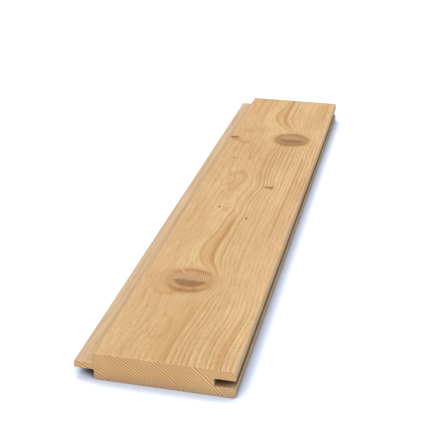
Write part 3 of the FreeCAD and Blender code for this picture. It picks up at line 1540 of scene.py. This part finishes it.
    def sides(self, places: np.ndarray, drawn_in: np.ndarray) -> np.ndarray:
        """Lay the section's copies along the board and press the relief into them.

        Args:
            places: The copies' places along the board.
            drawn_in: How far each is drawn in.

        Returns:
            The points of each copy.
        """
        base = self.section[None, :, :] - self.outward[None, :, :] * drawn_in[:, None, None]
        points = np.empty((*base.shape[:2], 3))
        points[:, :, 0] = base[:, :, 0]
        points[:, :, 1] = places[:, None]
        points[:, :, 2] = base[:, :, 1]
        depth = self.relief(points.reshape(-1, 3)).reshape(base.shape[:2])
        points[:, :, 0] -= self.outward[None, :, 0] * depth
        points[:, :, 2] -= self.outward[None, :, 1] * depth
        return points

    def build(self) -> bpy.types.Object:
        """Make the board's mesh.

        Returns:
            The board's object.
        """
        self.draw_section()
        places, drawn_in = self.rows()
        points = self.sides(places, drawn_in)
        rows, row_length, _ = points.shape
        vertices = [points.reshape(-1, 3)]
        faces: list[tuple[int, ...]] = []
        for row in range(rows - 1):
            start, following = row * row_length, (row + 1) * row_length
            for number in range(row_length):
                beside = (number + 1) % row_length
                faces.append((start + number, following + number, following + beside, start + beside))
        face_cuts = self.cuts * (rows - 1)
        used = rows * row_length
        for end_row, facing_near in ((0, True), (rows - 1, False)):
            inner, triangles = self.end_face(points[end_row][:, [0, 2]])
            rim = end_row * row_length + np.arange(row_length)
            indices = np.concatenate((rim, used + np.arange(len(inner))))
            vertices.append(np.insert(inner, 1, places[end_row], axis=1))
            used += len(inner)
            for triangle in triangles:
                turned = triangle if facing_near else tuple(reversed(triangle))
                faces.append(tuple(int(indices[corner]) for corner in turned))
                face_cuts.append(Cut.SAWN)
        mesh = self.make_mesh(np.concatenate(vertices), faces, face_cuts)
        self.mark_sharp(mesh, rows, row_length)
        mesh.update()
        return put_in_scene("softwood_board", mesh)

    def make_mesh(
        self, points: np.ndarray, faces: list[tuple[int, ...]], face_cuts: list[Cut]
    ) -> bpy.types.Mesh:
        """Put points and faces together, with the cut of each face and the years at each point.

        Args:
            points: The points, in millimetres.
            faces: The faces, by the numbers of their points.
            face_cuts: The cut of each face.

        Returns:
            The mesh.
        """
        mesh = bpy.data.meshes.new("board")
        mesh.from_pydata((points * MILLIMETRE).tolist(), [], faces)
        mesh.validate()
        mesh.polygons.foreach_set("use_smooth", [True] * len(mesh.polygons))
        order = list(Cut)
        mesh.polygons.foreach_set("material_index", [order.index(cut) for cut in face_cuts])
        radius = self.tree.radius_at(*points.T)
        years = mesh.attributes.new(YEARS_ATTRIBUTE, "FLOAT", "POINT")
        years.data.foreach_set("value", self.tree.years_at(radius).astype(np.float32))
        return mesh

    def end_face(self, outline: np.ndarray) -> tuple[np.ndarray, list[tuple[int, ...]]]:
        """Fill a sawn end with even triangles.

        Args:
            outline: The points round the end.

        Returns:
            The points inside the outline, and the triangles, numbered over the outline first.
        """
        step = self.end_step
        across = np.arange(self.low.x + step, self.high.x, step)
        up = np.arange(self.low.z + step, self.high.z, step)
        grid = np.array([(x, z) for x in across for z in up])
        inside = grid[[self.well_inside(point) for point in grid]]
        points = [Vector(point) for point in np.concatenate((outline, inside))]
        count = len(outline)
        edges = [(number, (number + 1) % count) for number in range(count)]
        inside_edges, same_point = 1, 1e-6
        filled = delaunay_2d_cdt(points, edges, [], inside_edges, same_point)
        _, _, triangles, sources, _, _ = filled
        named = [tuple(sources[corner][0] for corner in triangle) for triangle in triangles]
        return inside, named

    def well_inside(self, point: np.ndarray) -> bool:
        """Tell whether a point lies inside the section, clear of its outline.

        Args:
            point: The point's place across and height.

        Returns:
            Whether it does.
        """
        start, end = self.section, np.roll(self.section, -1, axis=0)
        gap = np.min(np.linalg.norm(self.section - point, axis=1))
        above = (start[:, 1] > point[1]) != (end[:, 1] > point[1])
        rise = np.where(above, end[:, 1] - start[:, 1], 1.0)
        crossing = start[:, 0] + (point[1] - start[:, 1]) * (end[:, 0] - start[:, 0]) / rise
        crossings = int(np.count_nonzero(above & (crossing > point[0])))
        return crossings % 2 == 1 and gap > self.end_step / 2

    def mark_sharp(self, mesh: bpy.types.Mesh, rows: int, row_length: int) -> None:
        """Keep the sharp corners of the section and the rims of the ends crisp.

        Args:
            mesh: The board's mesh.
            rows: How many copies of the section it has.
            row_length: How many points a copy has.
        """
        ends = np.empty(2 * len(mesh.edges), dtype=np.int32)
        mesh.edges.foreach_get("vertices", ends)
        first, second = ends.reshape(-1, 2).T
        on_sheet = (first < rows * row_length) & (second < rows * row_length)
        same_line = on_sheet & (first % row_length == second % row_length)
        corner = np.array(self.sharp)[np.minimum(first, second) % row_length]
        same_row = on_sheet & (first // row_length == second // row_length)
        end_row = np.isin(first // row_length, (0, rows - 1))
        crisp = (same_line & corner) | (same_row & end_row)
        sharp = mesh.attributes.new("sharp_edge", "BOOLEAN", "EDGE")
        sharp.data.foreach_set("value", crisp)

    def dress(self, board: bpy.types.Object, softwood: bpy.types.NodeTree) -> None:
        """Give each kind of cut its finish.

        Args:
            board: The board's object.
            softwood: The group that makes the wood.
        """
        by_cut = {finish.cut: finish for finish in FINISHES}
        for cut in Cut:
            board.data.materials.append(by_cut[cut].material(softwood))


# The studio

@dataclass(frozen=True)
class Lamp:
    """A large soft lamp, far enough away that its light is even.

    Attributes:
        name: Its name.
        towards: Direction from the board to the lamp.
        level: Its light on a surface that faces it, where 1 is white.
        colour: Its colour.
        width: Its width as seen from the board, in degrees.
    """

    name: str
    towards: tuple[float, float, float]
    level: float
    colour: tuple[float, float, float]
    width: float

    def hang(self) -> None:
        """Make the lamp and turn it to the board."""
        lamp = bpy.data.lights.new(self.name, "SUN")
        lamp.energy = math.pi * self.level
        lamp.color = self.colour
        lamp.angle = math.radians(self.width)
        hung = put_in_scene(self.name, lamp)
        hung.rotation_euler = Vector(self.towards).to_track_quat("Z", "Y").to_euler()


@dataclass
class Studio:
    """The floor, the light and the camera.

    Attributes:
        floor_half: Half of the floor's side, in metres.
        floor_drop: How far the floor lies under the board, in metres.
        floor_bounce: The floor's colour for the light that it throws back at the board.
        floor_seen: The floor's colour for the camera, full white away from shadows.
        floor_shade: The floor's colour where the board shuts out the light.
        shade_reach: How far from the board that reaches, in metres.
        shade_steps: The shade under the board and the one round it: the openness where each starts
            and ends, and its share of the floor's full colour.
        shade_samples: How many directions the openness is felt in.
        zenith: Soft light from overhead.
        horizon: Soft light from all round, level with the board.
        lamps: The lamps.
        lens: Focal length, in millimetres.
        sensor: Width of the sensor, in millimetres.
        clip: Nearest and farthest distance that is seen, in metres.
        eye: The camera's place, in millimetres.
        forward: Direction that it looks in.
        right_hand: Direction that is to the right in the picture.
    """

    floor_half: float = 4.0
    floor_drop: float = 0.0001
    floor_bounce: Colour = (0.82, 0.85, 0.90, 1.0)
    floor_seen: Colour = (1.03, 1.13, 1.345, 1.0)
    floor_shade: Colour = (0.03, 0.03, 0.04, 1.0)
    shade_reach: float = 0.0255
    shade_steps: tuple[tuple[float, float, float], ...] = ((0.12, 0.58, 0.67), (0.56, 0.84, 0.40))
    shade_samples: int = 16
    zenith: Colour = (0.40, 0.47, 0.58, 1.0)
    horizon: Colour = (0.12, 0.15, 0.20, 1.0)
    lamps: tuple[Lamp, ...] = (
        Lamp("overhead_lamp", (-0.18, 0.34, 0.92), 0.26, (0.98, 0.89, 0.72), 24.0),
        Lamp("front_fill_lamp", (0.00, -0.68, 0.73), 0.71, (0.99, 0.95, 0.88), 36.0),
    )
    lens: float = 83.1721
    sensor: float = 36.0
    clip: Span = (0.01, 50.0)
    eye: tuple[float, float, float] = (135.82, -702.61, 321.64)
    forward: tuple[float, float, float] = (-0.20134, 0.89009, -0.40891)
    right_hand: tuple[float, float, float] = (0.97454, 0.22408, 0.00791)

    def seen_directly(self, wiring: Wiring) -> Signal:
        """Pick the rays that come straight from the camera or by way of a gloss."""
        rays = wiring.lay("ShaderNodeLightPath", {})
        return rays["Is Glossy Ray"].most(rays["Is Transmission Ray"]).most(rays["Is Camera Ray"])

    def lay_floor(self) -> bpy.types.Object:
        """Lay a plain pale floor.

        Returns:
            The floor's object.
        """
        half, depth = self.floor_half, -self.floor_drop
        mesh = bpy.data.meshes.new("floor")
        corners = [(-half, -half, depth), (half, -half, depth), (half, half, depth), (-half, half, depth)]
        mesh.from_pydata(corners, [], [(0, 1, 2, 3)])
        made = bpy.data.materials.new("studio floor")
        wiring = Wiring.fresh(made)
        open_tone = wiring.blend(self.seen_directly(wiring), self.floor_bounce, self.floor_seen)
        reach = {"Distance": self.shade_reach}
        openness = wiring.lay("ShaderNodeAmbientOcclusion", reach, samples=self.shade_samples)["AO"]
        under, around = (openness.rise(shut, clear, top=share) for shut, clear, share in self.shade_steps)
        tone = wiring.blend(under + around, self.floor_shade, open_tone)
        shader = wiring.lay("ShaderNodeBsdfDiffuse", {"Color": tone})["BSDF"]
        wiring.lay("ShaderNodeOutputMaterial", {"Surface": shader})
        mesh.materials.append(made)
        return put_in_scene("studio_floor", mesh)

    def light(self) -> None:
        """Set up the soft light all round and the lamps."""
        world = bpy.data.worlds.new("studio")
        bpy.context.scene.world = world
        wiring = Wiring.fresh(world)
        _, _, upward = wiring.apart(wiring.lay("ShaderNodeTexCoord", {})["Generated"])
        sky = wiring.blend(upward, self.horizon, self.zenith)
        tone = wiring.blend(self.seen_directly(wiring), sky, WHITE)
        background = wiring.lay("ShaderNodeBackground", {"Color": tone})["Background"]
        wiring.lay("ShaderNodeOutputWorld", {"Surface": background})
        for lamp in self.lamps:
            lamp.hang()

    def set_camera(self) -> None:
        """Put the camera where the board is seen from."""
        lens = bpy.data.cameras.new("camera")
        lens.sensor_width = self.sensor
        lens.lens = self.lens
        lens.clip_start, lens.clip_end = self.clip
        camera = put_in_scene("camera", lens)
        back = -Vector(self.forward).normalized()
        right = Vector(self.right_hand).normalized()
        turned = Matrix((right, back.cross(right), back)).transposed().to_4x4()
        camera.matrix_world = Matrix.Translation(Vector(self.eye) * MILLIMETRE) @ turned
        bpy.context.scene.camera = camera


def main() -> None:
    """Load the frame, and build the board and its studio."""
    logging.basicConfig(level=logging.INFO, format="%(name)s: %(message)s")
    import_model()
    bpy.context.scene.view_settings.view_transform = "Standard"

    studio = Studio()
    studio.set_camera()
    studio.lay_floor()
    studio.light()
    log.info("studio ready")

    low, high = (Vector(corner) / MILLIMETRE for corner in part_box(NODE))
    tree = Tree()
    board = Board(low, high, tree)
    piece = board.build()
    board.dress(piece, SoftwoodEffects(tree).softwood())
    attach(piece, BODY)
    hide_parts(NODE)
    log.info("%s: %d faces", piece.name, len(piece.data.polygons))


if __name__ == "__main__":
    main()
